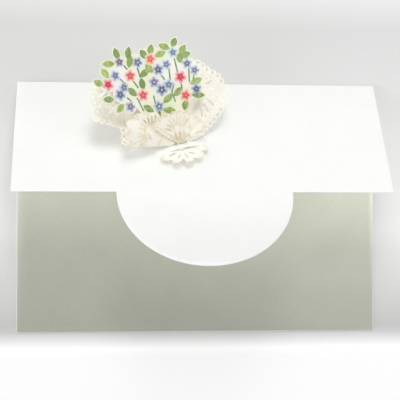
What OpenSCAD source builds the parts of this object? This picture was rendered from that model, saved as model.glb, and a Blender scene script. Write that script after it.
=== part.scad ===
// Folded pearl wedding card with a paper bouquet tucked under a strap cut in its cover.
// The card lies on its back leaf, and the cover stands open on the spring of its fold.
// X runs across the card, Y towards the fold and Z out of the inner leaf, in millimetres.
// The origin is the middle of the underside of the back leaf.

/* [Card] */
// Width of the card, along the fold
card_w = 150; // [130:1:170]
// Length of the back leaf, from the fold to its free edge
back_l = 104; // [95:1:115]
// Length of the cover, from the fold to its straight edge
cover_l = 57.5; // [52:0.5:64]
// Radius of the half-round tongue below the straight edge
tongue_r = 34.5; // [25:0.5:40]
// Angle between the inner leaf and the cover
open_angle = 35.5; // [30:0.5:42]
// Thickness of the pearl card
card_t = 0.4; // [0.3:0.05:0.5]
// Inside radius of the fold
fold_r = 0.5; // [0.4:0.05:0.8]

/* [Inner leaf] */
// Thickness of the inner leaf
leaf_t = 0.25; // [0.15:0.05:0.3]
// Margin of card left around the inner leaf
leaf_margin = 0.3; // [0.2:0.1:3]

/* [Strap] */
// Place of the strap across the card, from the middle
strap_x = -8.5; // [-20:0.5:20]
// Distance of the strap's middle below the fold
strap_drop = 35.7; // [30:0.1:40]
// Turn of the strap in the plane of the cover
strap_tilt = 18; // [10:1:25]
// Length of the two slits
strap_l = 21.5; // [20:0.5:24]
// Width of the strap at its ends
strap_w = 4.8; // [4:0.1:6]
// How far each slit bows in towards the strap's middle
slit_bow = 1.35; // [1:0.05:1.6]
// Height of the arched strap over the cover
strap_rise = 1.6; // [1.6:0.05:2.2]

/* [Lace doily] */
// Thickness of the lace paper
lace_t = 0.3; // [0.25:0.05:0.35]
// Half width of the oval collar
collar_a = 28.5; // [28:0.5:29]
// Half height of the oval collar
collar_b = 18.5; // [18:0.5:19]
// Swing of each fold line of the pleats, in degrees
pleat = 3; // [2:0.5:4]
// Reach of the left flap from the waist, at its widest
left_reach = 28.5; // [26:0.5:29]
// Reach of the right flap from the waist, at its narrow end
right_reach = 12; // [11:0.5:12.5]
// Reach of the tail below the strap
tail_reach = 9.5; // [9:0.5:10]

/* [Flower spray] */
// Thickness of the spray's printed card
spray_t = 0.3; // [0.25:0.05:0.35]
// Height of each step of the embossed print
emboss = 0.1; // [0.05:0.05:0.15]
// Radius of a full-sized blossom
blossom_r = 2.3; // [2:0.1:2.5]
// Width of a leaf
leaf_w = 2.1; // [1.8:0.1:2.4]
// Width of a stem
stem_w = 0.55; // [0.4:0.05:0.7]
// White border left round the print
halo = 0.7; // [0.5:0.1:1]

/* [Hidden] */

outer_r = fold_r + card_t;            // outside radius of the fold
bend_y = back_l / 2 - outer_r;        // centre line of the fold
cover_run = cover_l - outer_r;        // flat length of the cover, past the bend
strap_cut = 0.1;                      // width of the laser's cut along each slit
strap_root = 0.6;                     // the strap's ends run this far into the cover
slit_half = strap_l / 2 + 1;          // the slits' arcs end past the strap, so its corners are square
slit_r = (slit_half * slit_half + slit_bow * slit_bow) / (2 * slit_bow);
arch_half = strap_l / 2 + strap_root / 2;
arch_r = (arch_half * arch_half + strap_rise * strap_rise) / (2 * strap_rise);

waist_q = 1.6;                        // where the pleats meet, up and out from the strap's middle
waist_h = 0.4;
neck = [5, 3.4, 0.7];                 // the doily's gathered neck, under the strap
wrap_lift = 36;                       // angle of the bouquet to the cover
tail_lift = 14;                       // angle of the tail to the cover
overlap = 0.12;                       // how far neighbouring gores run past their shared fold line
gather_r = 3;                         // the flaps start here, so the spray's stalk can pass

collar_x = -4;                        // the oval's middle, from the waist
collar_y = collar_b;
rim_loops = 46;                       // loops round the whole oval, of which the collar takes most
collar_gores = 18;
collar_step = 11;                     // paper angle of one gore
loop_r = 1.7;
side_reach = 24.5;                    // the collar's left end is cut back to this reach
waist_clear = 8;                      // gathers round the waist: a disc of paper with no holes
left_shape = [0.79, 0.95, 1, 0.9, 0.7]; // reach of the left flap's gores, as shares

// The spray is laid out across and up from the waist: place, size and length of bare stem.
coral_blossoms = [[-5.3, 35.7, 1, 0], [-15, 30.9, 1, 5], [-25.2, 29.4, 1, 0],
    [-11.4, 22.5, 1.05, 6.5], [5.4, 26.3, 1, 4], [6.1, 18.8, 1.05, 0]];
blue_blossoms = [[-18.3, 37, 0.75, 3], [-10.8, 35.4, 0.9, 5], [4.3, 36.4, 0.8, 8],
    [0.8, 32.3, 0.8, 6], [-3, 31, 0.9, 3.5], [9.1, 31, 0.8, 7], [11.6, 27.8, 0.8, 3],
    [-21.3, 32.2, 0.85, 4], [-5.7, 26.5, 0.9, 0], [0.1, 24.3, 0.9, 0], [-3.1, 22.9, 1, 0],
    [-18.8, 27, 0.85, 0], [-21.1, 24.6, 0.95, 4], [-18, 19.2, 0.9, 0], [-5.7, 16.8, 0.95, 0],
    [10.8, 20.4, 0.85, 0]];
blossoms = concat(coral_blossoms, blue_blossoms);
// Place, bearing clockwise from the bouquet's axis, and length.
leaves = [[-18.7, 40.3, -10, 4.5], [-23, 37.2, -80, 5], [-25.3, 33.9, -28, 4.5],
    [-29, 30.8, -55, 4], [-26.5, 23.8, -80, 4.5], [-22.5, 19.5, -120, 4.5],
    [-13.8, 39.8, 18, 4.5], [-13.9, 36.3, 25, 4.5], [-7.7, 38, -25, 4], [-4.4, 39.2, 22, 4],
    [-0.9, 36.8, 80, 4.5], [1.3, 39.3, -58, 4.5], [5.5, 40.2, 35, 3.5], [9.1, 34.5, 80, 4],
    [6.6, 33.6, -5, 3.5], [8.4, 36.7, 40, 4], [-6.5, 32.1, -35, 4], [-8.8, 30.8, 60, 4.5],
    [-10.7, 26.8, 0, 4.5], [-15.6, 24.6, -40, 4.5], [-1.2, 19.1, 58, 5], [3.4, 20.8, 55, 4.5],
    [11.3, 23.4, 75, 5], [11, 17.9, 105, 5], [5.2, 15.1, 205, 4], [-1.7, 14.4, 105, 5],
    [-7, 13.6, 220, 4], [-10.3, 16.8, -50, 4.5]];
// Middles and radii of the white ground behind the blossoms.
grounds = [[-20, 31, 6], [-13.5, 33.5, 6], [-5, 34.5, 6], [3, 34.5, 6], [-16.5, 24.5, 6.5],
    [-7.5, 26.5, 6], [2, 27, 6.5], [7, 28, 5.5], [-9, 19.5, 6], [0, 19.5, 6], [7, 21.5, 5]];
stalk_w = 2.6;                        // the stems are bundled this wide through the lace
stalk_l = 5;
stalk_top = 17;

// Direction from the waist: azimuth clockwise from the bouquet's axis, elevation to the viewer.
function direction(azimuth, elevation) =
    [sin(azimuth) * cos(elevation), cos(azimuth) * cos(elevation), sin(elevation)];
function unit(v) = v / norm(v);
function total(list, count) = count == 0 ? 0 : list[count - 1] + total(list, count - 1);
// Azimuth that a flat gore of the given paper angle takes up between two elevations.
function sweep(step, low, high) =
    acos((cos(step) - sin(low) * sin(high)) / (cos(low) * cos(high)));
function sweeps(step, rises) = [for (i = [1 : len(rises) - 1]) sweep(step, rises[i - 1], rises[i])];
// Fold directions a paper angle apart, from their elevations, with the middle one on the axis.
function fold_lines(step, rises) =
    let (turns = sweeps(step, rises), middle = total(turns, len(turns)) / 2)
    [for (i = [0 : len(turns)]) direction(total(turns, i) - middle, rises[i])];

collar_rises = [for (i = [0 : collar_gores])
    -3 + 10 * pow(2 * i / collar_gores - 1, 2) + (i % 2 == 0 ? pleat : -pleat)];
collar_folds = fold_lines(collar_step, collar_rises);
collar_sweep = total(sweeps(collar_step, collar_rises), collar_gores);
collar_paper = collar_gores * collar_step;
collar_spread = collar_paper / collar_sweep;

// The flaps carry on from the collar's two ends, turn forward and close over the stems.
left_turns = [[-77, 20], [-65, 25], [-53, 27], [-41, 28], [-29, 28.5]];
right_turns = [[76, 20], [64, 24], [51, 27], [38, 29], [25, 31], [12, 32.5], [-1, 34],
    [-14, 35], [-27, 35.5], [-40, 35], [-53, 34]];
left_folds = concat([collar_folds[0]], [for (d = left_turns) direction(d[0], d[1])]);
right_folds = concat([collar_folds[collar_gores]], [for (d = right_turns) direction(d[0], d[1])]);

tail_q = 1.2;                         // where the tail's pleats meet, down and out from the middle
tail_h = 0.3;
tail_folds = fold_lines(34, [3, 9, 3, 9, 3, 9]);

spray_turns = [-54, -36, -18, 0, 20, 40];
spray_folds = [for (turn = spray_turns) direction(turn, 9 + 5 * pow(turn / 50, 2))];
spray_base = [0, 0.1, 0.65];          // where the spray's folds meet, in the bouquet's frame
foot = [2.2, 2.6];                    // the spray's foot, on the neck and under the strap
foot_end = 1.35;

// Children drawn on the cover, with the fold along X and Z out of the card.
module on_cover()
    translate([0, bend_y, outer_r])
        rotate([-open_angle, 0, 0])
            translate([0, 0, outer_r])
                children();

module on_strap()
    on_cover()
        translate([strap_x, outer_r - strap_drop, 0])
            rotate(strap_tilt)
                children();

// Children drawn in the bouquet's frame: Y up its axis from the waist, Z to the viewer.
module on_wrap()
    on_strap()
        translate([0, waist_q, waist_h])
            rotate([wrap_lift, 0, 0])
                children();

module on_tail()
    on_strap()
        translate([0, -tail_q, tail_h])
            rotate([0, 0, 180])
                rotate([tail_lift, 0, 0])
                    children();

// Puts children, drawn along Y, midway between two fold directions and in their plane.
module between(left, right) {
    y = unit(left + right);
    z = unit(cross(right, left));
    x = cross(y, z);
    multmatrix([[x[0], y[0], z[0], 0],
                [x[1], y[1], z[1], 0],
                [x[2], y[2], z[2], 0],
                [0, 0, 0, 1]])
        children();
}

// A wedge of paper about Y, widened so that it runs past its two fold lines.
module wedge(angle, near, far) {
    low = near * tan(angle / 2) + overlap;
    high = far * tan(angle / 2) + overlap;
    polygon([[-low, near], [low, near], [high, far], [-high, far]]);
}

// Folds a flat sheet, given as 2D children, along lines that meet at one point.
// $toward is the direction on the flat sheet of the middle of the gore being cut, and far is
// the sheet's greatest reach, or a list of it for each gore.
module folded(lines, low, high, far, near = 0, start = 0) {
    angles = [for (i = [1 : len(lines) - 1]) acos(lines[i - 1] * lines[i])];
    for (i = [0 : len(angles) - 1]) {
        $gore = i;
        $angle = angles[i];
        $toward = start + total(angles, i) + $angle / 2;
        between(lines[i], lines[i + 1])
            translate([0, 0, low])
                linear_extrude(high - low)
                    intersection() {
                        rotate($toward) children();
                        wedge($angle, near, is_list(far) ? far[i] : far);
                    }
    }
}

// Draws children at a place on the sheet, if that is near the gore being cut.
module put(place, size, bearing = 0)
    if (abs(atan2(place[0], place[1]) - $toward) < $angle / 2 + asin(min(1, size / norm(place))) + 2)
        translate([place[0], place[1]])
            rotate(-bearing)
                children();

// Pointed opening or leaf along Y.
module leaf_shape(length, width) {
    r = (length * length + width * width) / (4 * width);
    half = asin(length / (2 * r));
    side = [for (i = [0 : 3]) let (a = half * (2 * i / 4 - 1)) [r * cos(a) - r + width / 2, r * sin(a)]];
    polygon(concat(side, -side));
}

// Outline of the strap, or of the window that it leaves, by its length and the cut's width.
module strap_outline(length, cut = 0)
    difference() {
        square([length, strap_w], center = true);
        for (side = [-1, 1])
            translate([0, side * (strap_w / 2 - slit_bow - cut + slit_r)])
                circle(r = slit_r, $fn = 160);
    }

module arched_strap()
    intersection() {
        translate([0, 0, -0.9 * card_t])
            linear_extrude(strap_rise + card_t) strap_outline(strap_l + 2 * strap_root, strap_cut);
        rotate([90, 0, 0])
            linear_extrude(strap_w, center = true)
                translate([0, strap_rise - arch_r])
                    difference() {
                        circle(r = arch_r, $fn = 160);
                        circle(r = arch_r - card_t, $fn = 160);
                    }
    }

module cover_outline() {
    translate([-card_w / 2, -cover_run]) square([card_w, cover_run]);
    translate([0, -cover_run]) circle(r = tongue_r, $fn = 160);
}

module folded_card() color("ivory") {
    translate([-card_w / 2, -back_l / 2, 0]) cube([card_w, back_l - outer_r, card_t]);
    translate([-card_w / 2, bend_y, outer_r])
        rotate([0, 90, 0])
            rotate_extrude(angle = 180 - open_angle, $fn = 90)
                translate([fold_r, 0]) square([card_t, card_w]);
    on_cover()
        translate([0, 0, -card_t])
            linear_extrude(card_t)
                difference() {
                    cover_outline();
                    translate([strap_x, outer_r - strap_drop]) rotate(strap_tilt) strap_outline(strap_l);
                }
    on_strap() arched_strap();
}

module inner_leaf() color("darkseagreen")
    translate([leaf_margin - card_w / 2, leaf_margin - back_l / 2, card_t])
        cube([card_w - 2 * leaf_margin, back_l - outer_r - 2 * leaf_margin, leaf_t]);

// The rim stands out into a lobe at the upper left, and dips between it and the next.
function lobe(turn) = 1.8 * exp(-pow((turn - 299) / 10, 2)) - 2.6 * exp(-pow((turn - 284) / 7, 2));
// Point of the collar's oval, inset from its rim, at a turn clockwise from the top.
function oval(turn, inset) =
    let (within = inset - lobe(turn))
    [collar_x + (collar_a - within) * sin(turn), collar_y + (collar_b - within) * cos(turn)];
// The pleats draw the collar together, so its flat sheet is wider by the same share.
function laid_flat(place) =
    let (turn = collar_spread * atan2(place[0], place[1])) norm(place) * [sin(turn), cos(turn)];

// Children in a row round the oval, where the collar's paper reaches.
module along_oval(inset, count, size, shift = 0)
    for (k = [0 : count - 1]) {
        place = oval(360 * (k + shift) / count, inset);
        flat = laid_flat(place);
        if (norm(place) > waist_clear && abs(atan2(place[0], place[1])) < collar_sweep / 2)
            put(flat, size, atan2(flat[0], flat[1])) children();
    }

module collar_sheet()
    difference() {
        union() {
            polygon([for (turn = [2 : 4 : 358]) laid_flat(oval(turn, loop_r))]);
            circle(r = waist_clear, $fn = 32);
            along_oval(loop_r, rim_loops, loop_r) circle(r = loop_r, $fn = 12);
        }
        along_oval(loop_r, rim_loops, 1) circle(r = 0.85, $fn = 6);
        along_oval(4.5, 37, 1.2) circle(r = 1.1, $fn = 8);
        along_oval(8.2, 26, 2, 0.5) leaf_shape(3.6, 1.6);
        along_oval(11.6, 16, 1) circle(r = 0.9, $fn = 6);
    }

// Rim of a flap or of the tail: one scallop to each gore, with three dots.
module scalloped_gore(reach) {
    half = reach * tan($angle / 2);
    difference() {
        union() {
            wedge($angle, 0, reach - half);
            translate([0, reach - half]) circle(r = half + overlap, $fn = 12);
        }
        for (turn = [-50, 0, 50])
            translate([0, reach - half])
                rotate(turn)
                    translate([0, half * 0.62])
                        circle(r = half * 0.17, $fn = 6);
    }
}

module left_flap()
    folded(left_folds, -lace_t / 2, lace_t / 2, left_reach + 3, gather_r)
        rotate(-$toward)
            difference() {
                reach = left_reach * left_shape[$gore];
                scalloped_gore(reach);
                translate([0, reach * 0.64]) leaf_shape(reach * 0.24, 2.4);
                translate([0, reach * 0.42]) leaf_shape(reach * 0.15, 1.2);
            }

module right_flap()
    folded(right_folds, -lace_t / 2, lace_t / 2, right_reach + 2, gather_r)
        rotate(-$toward)
            difference() {
                reach = right_reach * min(1.5, 1 + 0.05 * $gore);
                scalloped_gore(reach);
                translate([0, reach * 0.58]) leaf_shape(reach * 0.36, 1.1);
            }

module tail()
    folded(tail_folds, -lace_t / 2, lace_t / 2, 2 * tail_reach)
        rotate(-$toward)
            difference() {
                scalloped_gore(tail_reach * (1 + 0.12 * pow(($gore - 2) / 2, 2)));
                translate([0, tail_reach * 0.47]) leaf_shape(tail_reach * 0.4, 0.8);
            }

module lace_doily() color("linen") {
    on_strap()
        translate([-neck[0] / 2, -neck[1] / 2, 0]) cube(neck);
    on_wrap() {
        folded(collar_folds, -lace_t / 2, lace_t / 2,
                [for (i = [1 : collar_gores]) i < 3 ? side_reach : 60], 0, -collar_paper / 2)
            collar_sheet();
        left_flap();
        right_flap();
    }
    on_tail() tail();
}

// Children at the place of one blossom or leaf, if it is near the gore being cut.
module at_place(item, size, bearing = 0) put([item[0], item[1]], size, bearing) children();

module stem(item)
    at_place(item, item[3] + blossom_r, atan2(item[0], item[1]))
        translate([-stem_w / 2, -item[3] - blossom_r]) square([stem_w, item[3] + blossom_r]);

module spray_outline() {
    polygon([[-foot[0] / 2, 0], [foot[0] / 2, 0], [stalk_w / 2, stalk_l], [7, stalk_top],
        [-9, stalk_top], [-stalk_w / 2, stalk_l]]);
    for (ground = grounds)
        at_place(ground, ground[2]) circle(r = ground[2], $fn = 12);
    for (blossom = blossoms)
        at_place(blossom, blossom_r + halo) circle(r = blossom[2] * blossom_r + halo, $fn = 12);
    for (leaf = leaves)
        at_place(leaf, leaf[3], leaf[2]) leaf_shape(leaf[3] + 2 * halo, leaf_w + 2 * halo);
}

module green_print() {
    for (leaf = leaves)
        at_place(leaf, leaf[3], leaf[2]) leaf_shape(leaf[3], leaf_w);
    for (blossom = blossoms)
        if (blossom[3] > 0) stem(blossom);
}

module petals()
    for (blossom = blossoms) {
        r = blossom[2] * blossom_r;
        at_place(blossom, r)
            for (petal = [0 : 72 : 288])
                rotate(petal) translate([0, r * 0.55]) circle(r = r * 0.45, $fn = 8);
    }

module blossom_hearts()
    for (blossom = blossoms)
        at_place(blossom, blossom_r) circle(r = blossom[2] * blossom_r * 0.42, $fn = 8);

// Print raised above the card by so many steps of the embossing.
module embossed(steps)
    folded(spray_folds, 0, spray_t / 2 + steps * emboss, 60, 0, spray_turns[0]) children();

module flower_spray() color("whitesmoke") {
    on_strap()
        translate([-foot[0] / 2, foot_end - foot[1], neck[2]]) cube([foot[0], foot[1], spray_t]);
    on_wrap()
        translate(spray_base) {
            rotate([0, 90, 0]) cylinder(h = foot[0], r = 0.25, center = true, $fn = 12);
            folded(spray_folds, -spray_t / 2, spray_t / 2, 60, 0, spray_turns[0]) spray_outline();
            embossed(1) green_print();
            embossed(2) petals();
            embossed(3) blossom_hearts();
        }
}

folded_card();
inner_leaf();
lace_doily();
flower_spray();
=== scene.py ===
# %% [markdown]
# # A folded wedding card with a paper bouquet
# The card is one sheet of pearl white card, folded once. Its short cover ends in a half-round tongue and
# stands open on the spring of the fold. A grey pearl leaf is glued inside. A bouquet of two sheets, a
# laser-cut lace doily gathered round an embossed flower spray, is tucked under a strap cut in the cover.
# Each sheet is drawn flat, as it would be cut, and is then folded. So every hole and every printed petal
# keeps its true shape on the paper.

# %% Load the measured frame
import math
import random
from contextlib import contextmanager

import bmesh
import bpy
import numpy as np
from mathutils import Matrix, Vector, geometry


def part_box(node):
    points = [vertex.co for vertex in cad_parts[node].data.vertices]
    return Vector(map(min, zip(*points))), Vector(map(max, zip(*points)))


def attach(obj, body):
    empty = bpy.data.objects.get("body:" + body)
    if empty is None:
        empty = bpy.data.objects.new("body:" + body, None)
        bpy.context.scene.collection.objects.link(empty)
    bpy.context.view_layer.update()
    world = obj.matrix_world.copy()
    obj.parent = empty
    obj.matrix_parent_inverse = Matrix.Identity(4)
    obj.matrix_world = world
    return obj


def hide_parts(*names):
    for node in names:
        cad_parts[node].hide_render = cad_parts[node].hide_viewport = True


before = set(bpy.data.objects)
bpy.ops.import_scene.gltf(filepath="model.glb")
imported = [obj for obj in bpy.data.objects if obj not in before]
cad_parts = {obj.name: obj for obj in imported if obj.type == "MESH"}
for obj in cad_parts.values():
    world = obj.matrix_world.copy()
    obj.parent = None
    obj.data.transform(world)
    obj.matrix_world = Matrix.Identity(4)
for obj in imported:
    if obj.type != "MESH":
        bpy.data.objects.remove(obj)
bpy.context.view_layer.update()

print("frame nodes:", sorted(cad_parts))

# %% [markdown]
# ## The driving sizes
# Paper is drawn in millimetres and turned into metres once, when a mesh is made. The card's width and
# length come from the frame, so they can't drift from the solids. The rest are the choices of the person
# who folds the card: where the strap is cut, and how far each fold is opened.

# %% Sizes of the sheets, in millimetres
MM = 0.001
card_low, card_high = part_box("folded_card")
CARD_W = (card_high[0] - card_low[0]) / MM
BACK_L = (card_high[1] - card_low[1]) / MM
COVER_L, TONGUE_R, OPEN_ANGLE = 57.5, 34.5, 35.5
CARD_T, FOLD_R, LEAF_T = 0.4, 0.5, 0.25
STRAP_X, STRAP_DROP, STRAP_TILT = -8.5, 35.7, 18
STRAP_L, STRAP_W, SLIT_BOW, STRAP_RISE = 21.5, 4.8, 1.35, 1.6
WAIST_Q, WAIST_H, WRAP_LIFT = 1.6, 0.4, 36
TAIL_Q, TAIL_H, TAIL_LIFT = 1.2, 0.3, 14
LACE_T, SPRAY_T = 0.22, 0.3
OUTER_R = FOLD_R + CARD_T
BEND_Y = BACK_L / 2 - OUTER_R
print(f"card {CARD_W:.1f} x {BACK_L:.1f} mm")

# %% [markdown]
# ## Places on the folded card
# The cover is a plane turned about the fold, the strap is turned in that plane, and the bouquet leans out
# of it. A chain of parent objects could carry them, but a finished piece sits at the origin with its place
# in its mesh. So four matrices carry a point from a sheet's own place to the card's. Each starts from the
# last, as the real things hang on each other.

# %% Matrices from each sheet to the card
def shift(x, y, z):
    return Matrix.Translation((x, y, z))


def turn(degrees, axis):
    return Matrix.Rotation(math.radians(degrees), 4, axis)


COVER = shift(0, BEND_Y, OUTER_R) @ turn(-OPEN_ANGLE, "X") @ shift(0, 0, OUTER_R)
STRAP = COVER @ shift(STRAP_X, OUTER_R - STRAP_DROP, 0) @ turn(STRAP_TILT, "Z")
WRAP = STRAP @ shift(0, WAIST_Q, WAIST_H) @ turn(WRAP_LIFT, "X")
TAIL = STRAP @ shift(0, -TAIL_Q, TAIL_H) @ turn(180, "Z") @ turn(TAIL_LIFT, "X")
print("waist of the bouquet at", [round(v, 1) for v in WRAP.translation])

# %% [markdown]
# ## Paper surfaces
# Paper is never one flat colour: its fibres mottle it and break up the light. A scan of real paper could
# show that, but noise has no seams and can be made as fine as each paper needs. One node group makes the
# mottle and the height of the fibres. It reads Object coordinates, so the grain stays the same size on
# every sheet.

# %% Node group: paper fibres
def new_group(name, kind, inputs, outputs):
    """A node group with named sockets. Each input is a name, a socket type and a default."""
    tree = bpy.data.node_groups.new(name, kind)
    for label, socket, default in inputs:
        made = tree.interface.new_socket(label, in_out="INPUT", socket_type=socket)
        if default is not None:
            made.default_value = default
    for label, socket in outputs:
        tree.interface.new_socket(label, in_out="OUTPUT", socket_type=socket)
    return tree, tree.nodes.new("NodeGroupInput"), tree.nodes.new("NodeGroupOutput")


def add(tree, kind, links=None, **settings):
    """A node with its settings, and values or other sockets for its inputs."""
    made = tree.nodes.new(kind)
    for name, value in settings.items():
        setattr(made, name, value)
    for name, value in (links or {}).items():
        socket = made.inputs[name]
        if isinstance(value, bpy.types.NodeSocket):
            tree.links.new(value, socket)
        else:
            socket.default_value = value
    return made


def sum_of(tree, operation, *values):
    """The result of one step of arithmetic on values or sockets."""
    return add(tree, "ShaderNodeMath", dict(enumerate(values)), operation=operation).outputs[0]


FLOAT = "NodeSocketFloat"
fibres, group_in, group_out = new_group(
    "paper_fibres", "ShaderNodeTree",
    [("Grain", FLOAT, 1500.0), ("Cloud", FLOAT, 60.0)],
    [("Mottle", FLOAT), ("Height", FLOAT)])
where = add(fibres, "ShaderNodeTexCoord")
stretched = add(fibres, "ShaderNodeMapping", {"Vector": where.outputs["Object"], "Scale": (1.0, 0.35, 1.0)})
grain = add(fibres, "ShaderNodeTexNoise", {
    "Vector": stretched.outputs["Vector"], "Scale": group_in.outputs["Grain"], "Detail": 3.0})
cloud = add(fibres, "ShaderNodeTexNoise", {
    "Vector": where.outputs["Object"], "Scale": group_in.outputs["Cloud"], "Detail": 2.0})
mottle = sum_of(fibres, "ADD", grain.outputs["Fac"], cloud.outputs["Fac"])
fibres.links.new(sum_of(fibres, "MULTIPLY", mottle, 0.5), group_out.inputs["Mottle"])
fibres.links.new(grain.outputs["Fac"], group_out.inputs["Height"])
print("fibre group:", [item.name for item in fibres.interface.items_tree])

# %% [markdown]
# The pearl papers get painted light and shade: a gain darkens a sheet slowly towards the card's free edge,
# away from the fold, and can brighten it a little to the right. Both pearl papers take it, each by its own
# amounts, so it is a second group. It gives the gain that a paper's colour is multiplied by.

# %% Node group: painted shading along a sheet
def ramp(tree, value, low, high, top=1.0, soft=False):
    """A straight or soft step from 0 to top, as the value goes from low to high."""
    kind = "SMOOTHSTEP" if soft else "LINEAR"
    step = {"Value": value, "From Min": low, "From Max": high, "To Max": top}
    return add(tree, "ShaderNodeMapRange", step, interpolation_type=kind).outputs[0]


def object_place(tree):
    """Outputs X, Y and Z of the shaded point, in metres on the finished card."""
    where = add(tree, "ShaderNodeTexCoord")
    return add(tree, "ShaderNodeSeparateXYZ", {"Vector": where.outputs["Object"]}).outputs


PAINTED_SHADING_FROM, PAINTED_SHADING_TO, PAINTED_SHADING_CURVE = -0.052, 0.004, 1.65
sheet_tone, group_in, group_out = new_group(
    "sheet_tone", "ShaderNodeTree",
    [("Low", FLOAT, 1.0), ("High", FLOAT, 1.0), ("Across", FLOAT, 0.0)], [("Gain", FLOAT)])
place = object_place(sheet_tone)
curve = sum_of(sheet_tone, "POWER", ramp(sheet_tone, place["Y"], PAINTED_SHADING_FROM, PAINTED_SHADING_TO), PAINTED_SHADING_CURVE)
climb = sum_of(sheet_tone, "SUBTRACT", group_in.outputs["High"], group_in.outputs["Low"])
level = sum_of(sheet_tone, "MULTIPLY_ADD", curve, climb, group_in.outputs["Low"])
side = sum_of(sheet_tone, "MULTIPLY_ADD", place["X"], group_in.outputs["Across"], 1.0)
sheet_tone.links.new(sum_of(sheet_tone, "MULTIPLY", level, side), group_out.inputs["Gain"])
print("tone group:", [item.name for item in sheet_tone.interface.items_tree])

# %% Helpers: colours, and a material with fibres
def blended(tree, factor, a, b, mode="MIX"):
    """From colour a to colour b. Each may be a colour or a socket."""
    return add(tree, "ShaderNodeMix", {"Factor": factor, "A": a, "B": b}, data_type="RGBA",
               blend_type=mode).outputs["Result"]


def attribute(tree, name, output):
    return add(tree, "ShaderNodeAttribute", attribute_name=name).outputs[output]


def scaled(tree, colour, gain):
    """A colour multiplied by a gain."""
    return add(tree, "ShaderNodeVectorMath", {"Vector": colour, "Scale": gain}, operation="SCALE").outputs[0]


def fibrous(name, colour, roughness, bump, depth=0.0001, grain=1500.0, **sockets):
    """A material with paper's fibres in its bump. colour(tree, mottle) makes its colour."""
    material = bpy.data.materials.new(name)
    material.use_nodes = True
    tree = material.node_tree
    shader = tree.nodes["Principled BSDF"]
    fibre = add(tree, "ShaderNodeGroup", node_tree=fibres)
    fibre.inputs["Grain"].default_value = grain
    relief = add(tree, "ShaderNodeBump", {
        "Height": fibre.outputs["Height"], "Strength": bump, "Distance": depth})
    tree.links.new(colour(tree, fibre.outputs["Mottle"]), shader.inputs["Base Color"])
    tree.links.new(relief.outputs["Normal"], shader.inputs["Normal"])
    for socket, value in {"Roughness": roughness, **sockets}.items():
        shader.inputs[socket.replace("_", " ")].default_value = value
    return material


# %% Materials of the plain papers
def paper(name, light, dark, roughness, bump, painted_shading=None, painted_shade_colour=None, **others):
    """A paper that wanders between two near colours.

    Its painted shading is Low, High and Across of the painted shading group. A colour of painted shade is
    multiplied in where the sheet's own attribute of painted shade is high."""
    def colour(tree, mottle):
        tint = blended(tree, ramp(tree, mottle, 0.35, 0.65), (*dark, 1.0), (*light, 1.0))
        if painted_shading:
            along = add(tree, "ShaderNodeGroup", dict(zip(("Low", "High", "Across"), painted_shading)),
                        node_tree=sheet_tone)
            tint = scaled(tree, tint, along.outputs["Gain"])
        if painted_shade_colour:
            tint = blended(tree, attribute(tree, "cream", "Fac"), tint, painted_shade_colour, "MULTIPLY")
        return tint

    return fibrous(name, colour, roughness, bump, **others)


# Painted shading: the white card darkens a little towards its tongue's tip, and the grey leaf darkens
# strongly towards the card's free edge and a little to the left.
pearl_white = paper("pearl_white", (0.93, 0.94, 0.92), (0.90, 0.91, 0.89), 0.42, 0.12, painted_shading=(0.83, 1.0, 0.0),
                    Coat_Weight=0.15)
pearl_grey = paper("pearl_grey", (0.565, 0.575, 0.49), (0.525, 0.535, 0.455), 0.4, 0.2,
                   painted_shading=(0.85, 1.56, 1.15), Metallic=0.35)
# The lace's darker cream, multiplied in where its attribute is high, is painted shade, and its faint
# emission is painted light that lifts its shaded folds.
lace_cream = paper("lace_cream", (0.98, 0.97, 0.91), (0.955, 0.94, 0.87), 0.75, 0.25,
                   painted_shade_colour=(0.86, 0.79, 0.64, 1.0), grain=2500.0, Emission_Color=(1.0, 0.96, 0.86, 1.0),
                   Emission_Strength=0.04)
print("papers:", [m.name for m in (pearl_white, pearl_grey, lace_cream)])

# %% [markdown]
# ## Flat sheets
# A flat sheet is an outline and whatever lines must stay edges in it, such as slits. Constrained Delaunay
# triangulation turns these into triangles, and a grid of free points inside lets the sheet bend smoothly
# later.

# %% Helpers: triangulate a flat outline
def inside(point, loop):
    """Whether a point lies inside a closed loop."""
    x, y = point
    odd = False
    for (x0, y0), (x1, y1) in zip(loop, loop[1:] + loop[:1]):
        if (y0 > y) != (y1 > y) and x < x0 + (y - y0) * (x1 - x0) / (y1 - y0):
            odd = not odd
    return odd


def flat_sheet(outline, free_points, lines=()):
    """Triangles that fill an outline, with free points and open lines worked in."""
    points = [Vector(p) for p in outline]
    edges = [(i, (i + 1) % len(outline)) for i in range(len(outline))]
    for line in lines:
        first = len(points)
        points += [Vector(p) for p in line]
        edges += [(first + i, first + i + 1) for i in range(len(line) - 1)]
    points += [Vector(p) for p in free_points if inside(p, list(outline))]
    verts, _, faces, *_ = geometry.delaunay_2d_cdt(points, edges, [], 1, 1e-5)
    return [tuple(v) for v in verts], faces


def grid(x0, x1, y0, y1, pitch):
    """Points of a triangular grid, which make better triangles than a square one."""
    rows = int((y1 - y0) / (pitch * 0.866))
    found = []
    for row in range(1, rows):
        y = y0 + (y1 - y0) * row / rows
        columns = int((x1 - x0) / pitch)
        for column in range(1, columns):
            found.append((x0 + (x1 - x0) * (column + 0.5 * (row % 2)) / columns, y))
    return found


print("a plain square:", len(flat_sheet([(0, 0), (1, 0), (1, 1), (0, 1)], [])[1]), "triangles")

# %% [markdown]
# ## The folded card
# The real card is one sheet, so it is one mesh here too: back leaf, fold, cover, tongue and strap. The
# strap isn't added to it. Its two slits are edges in the flat sheet, the mesh is opened along them, and
# the strip between them is lifted into an arch. That is just what a cutting table and a finger do.

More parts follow.
